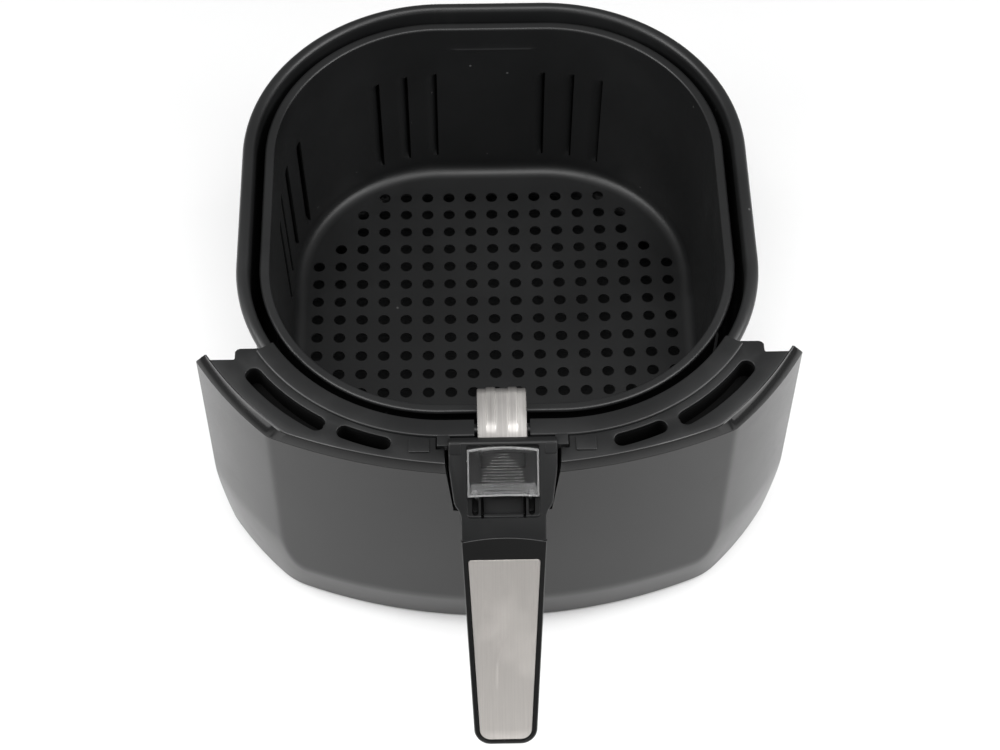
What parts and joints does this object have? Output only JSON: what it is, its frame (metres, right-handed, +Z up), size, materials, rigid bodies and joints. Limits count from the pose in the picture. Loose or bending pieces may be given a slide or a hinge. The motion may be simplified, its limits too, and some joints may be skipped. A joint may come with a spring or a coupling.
{
  "type": "air fryer drawer",
  "caption": "Air fryer drawer: coated pan with a steel front and a perforated lift-out basket on a sloping handle with a guarded release button.",
  "frame": {"origin": "centre of the pan's flat bottom", "axes": "+Z up, -Y towards the handle, +X to the right seen from the handle"},
  "size_m": [0.2876, 0.3787, 0.155],
  "materials": {
    "coated_steel": "satin black non-stick coating",
    "dark_stainless": "polished dark stainless with fine upright grain",
    "black_plastic": "fine satin texture",
    "gloss_black": "gloss",
    "brushed_plate": "brushed along the grip",
    "satin_strap": "satin",
    "zinc_steel": "zinc plated",
    "clear_guard": "clear polycarbonate with moulded grip ribs",
    "button_plastic": "satin"
  },
  "bodies": {
    "drawer": {"pan": "coated_steel", "pan_bracket": "zinc_steel", "bracket_rivets": "zinc_steel", "latch_catch": "zinc_steel", "catch_rivets": "zinc_steel", "panel_carrier": "black_plastic", "bracket_screws": "zinc_steel", "front_panel": "dark_stainless", "edge_band": "gloss_black", "top_trim": "black_plastic", "trim_screws": "zinc_steel"},
    "basket": {"basket": "coated_steel", "basket_legs": "coated_steel", "handle_strap": "satin_strap", "strap_rivets": "satin_strap", "handle_base": "black_plastic", "base_cover": "black_plastic", "base_screws": "zinc_steel", "handle_core": "zinc_steel", "handle_frame": "gloss_black", "handle_plate": "brushed_plate", "handle_cover": "black_plastic", "cover_screws": "zinc_steel", "latch_pin": "zinc_steel", "button_spring": "zinc_steel"},
    "guard": {"button_guard": "clear_guard"},
    "button": {"release_button": "button_plastic"},
    "latch": {"latch_lever": "zinc_steel"}
  },
  "joints": [
    {"name": "basket_lift", "type": "slide", "parent": "drawer", "child": "basket", "axis": [0, 0, 1], "range_m": [0, 0.16]},
    {"name": "guard_slide", "type": "slide", "parent": "basket", "child": "guard", "axis": [0, -0.766, -0.6428], "range_m": [0, 0.009]},
    {"name": "button_press", "type": "slide", "parent": "basket", "child": "button", "axis": [0, 0.6428, -0.766], "range_m": [0, 0.0025], "stiffness_N_per_m": 300, "springref_m": -0.001, "deforming": ["button_spring"]},
    {"name": "latch_turn", "type": "hinge", "parent": "basket", "child": "latch", "pos_m": [0, -0.14718, 0.12887], "axis": [1, 0, 0], "range_deg": [-18.5, 0.5]}
  ],
  "couplings": [
    {"joint": "latch_turn", "follows": "button_press", "rad_per_m": -125}
  ]
}
